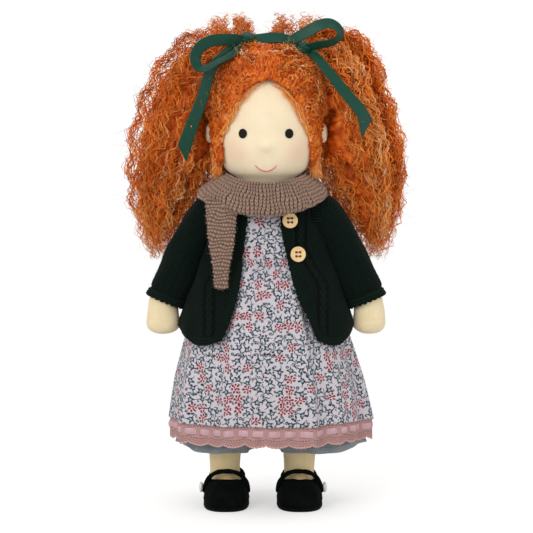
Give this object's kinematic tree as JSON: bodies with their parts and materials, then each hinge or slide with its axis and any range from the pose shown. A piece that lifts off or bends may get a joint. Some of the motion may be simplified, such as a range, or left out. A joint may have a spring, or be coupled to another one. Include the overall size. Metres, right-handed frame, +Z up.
{
  "type": "rag doll",
  "caption": "Standing soft cloth doll with curly tied hair, knitted cardigan and scarf, cotton dress, bloomers and strap shoes.",
  "frame": {"origin": "on the floor, under the middle of the neck", "axes": "+Z up, the doll faces -Y, and its own left side is at +X"},
  "size_m": [0.1944, 0.1028, 0.319],
  "materials": {
    "cotton_knit_skin": "fine cotton knit over a firm wool filling",
    "black_embroidery": "black embroidery thread",
    "pink_embroidery": "pink embroidery thread",
    "copper_mohair": "curly copper mohair yarn",
    "brown_elastic": "brown covered elastic",
    "green_satin": "glossy dark green satin ribbon",
    "floral_cotton": "matte cotton with a small scattered flower print",
    "pink_lace": "matte dusty pink cotton lace",
    "pink_satin": "pale pink satin ribbon",
    "grey_linen": "matte blue grey linen",
    "green_knit": "matte dark green knitted wool",
    "taupe_knit": "matte taupe knitted wool",
    "pale_wood": "bare pale wood",
    "dark_thread": "dark sewing thread",
    "black_velvet": "matte black green velvet",
    "black_felt": "matte black felt",
    "white_pearl": "pearly white plastic"
  },
  "bodies": {
    "torso": {"torso": "cotton_knit_skin", "bloomers_left": "grey_linen", "bloomers_right": "grey_linen", "bloomers_waist": "grey_linen", "button_lower": "pale_wood", "button_thread_lower": "dark_thread", "button_thread_upper": "dark_thread", "button_upper": "pale_wood", "cardigan_back": "green_knit", "cardigan_front_left": "green_knit", "cardigan_front_right": "green_knit", "dress_bodice": "floral_cotton", "dress_skirt": "floral_cotton", "lace_ribbon": "pink_satin", "lace_trim": "pink_lace", "scarf_wrap": "taupe_knit"},
    "head": {"head": "cotton_knit_skin", "mouth": "pink_embroidery", "hair_cap": "copper_mohair", "ribbon_band": "green_satin", "ear_right": "cotton_knit_skin", "ear_left": "cotton_knit_skin", "eye_right": "black_embroidery", "eye_left": "black_embroidery", "hair_tie_right": "brown_elastic", "hair_tie_left": "brown_elastic", "hair_bunch_right": "copper_mohair", "hair_bunch_left": "copper_mohair", "bow_knot_right": "green_satin", "bow_knot_left": "green_satin", "bow_loop_right": "green_satin", "bow_loop_left": "green_satin", "bow_tail_right": "green_satin", "bow_tail_left": "green_satin"},
    "arm_right": {"arm_right": "cotton_knit_skin", "sleeve_right": "green_knit"},
    "leg_right": {"leg_right": "cotton_knit_skin", "shoe_sole_right": "black_felt", "shoe_upper_right": "black_velvet"},
    "strap_right": {"shoe_strap_right": "black_velvet", "shoe_button_right": "white_pearl"},
    "arm_left": {"arm_left": "cotton_knit_skin", "sleeve_left": "green_knit"},
    "leg_left": {"leg_left": "cotton_knit_skin", "shoe_sole_left": "black_felt", "shoe_upper_left": "black_velvet"},
    "strap_left": {"shoe_strap_left": "black_velvet", "shoe_button_left": "white_pearl"},
    "scarf_tail": {"scarf_tail": "taupe_knit"}
  },
  "joints": [
    {"name": "neck_turn", "type": "hinge", "parent": "torso", "child": "head", "pos_m": [0, 0, 0.201], "axis": [0, 0, 1], "range_deg": [-40, 40], "deforming": ["hair_bunch_right", "hair_bunch_left"]},
    {"name": "shoulder_right", "type": "hinge", "parent": "torso", "child": "arm_right", "pos_m": [-0.0341, 0, 0.189], "axis": [-1, 0, 0], "range_deg": [-15, 75]},
    {"name": "shoulder_left", "type": "hinge", "parent": "torso", "child": "arm_left", "pos_m": [0.0341, 0, 0.189], "axis": [-1, 0, 0], "range_deg": [-15, 75]},
    {"name": "hip_right", "type": "hinge", "parent": "torso", "child": "leg_right", "pos_m": [-0.016, 0, 0.08], "axis": [-1, 0, 0], "range_deg": [-10, 72], "deforming": ["dress_skirt", "lace_trim", "lace_ribbon", "bloomers_right"]},
    {"name": "hip_left", "type": "hinge", "parent": "torso", "child": "leg_left", "pos_m": [0.016, 0, 0.08], "axis": [-1, 0, 0], "range_deg": [-10, 72], "deforming": ["dress_skirt", "lace_trim", "lace_ribbon", "bloomers_left"]},
    {"name": "shoe_strap_right", "type": "hinge", "parent": "leg_right", "child": "strap_right", "pos_m": [-0.01, -0.01334, 0.0072], "axis": [0, 1, 0], "range_deg": [0, 48]},
    {"name": "shoe_strap_left", "type": "hinge", "parent": "leg_left", "child": "strap_left", "pos_m": [0.006, -0.01334, 0.0072], "axis": [0, -1, 0], "range_deg": [0, 48]},
    {"name": "scarf_tail_swing", "type": "hinge", "parent": "torso", "child": "scarf_tail", "pos_m": [-0.0285, -0.0262, 0.196], "axis": [-0.9272, 0, 0.3746], "range_deg": [0, 70]}
  ]
}
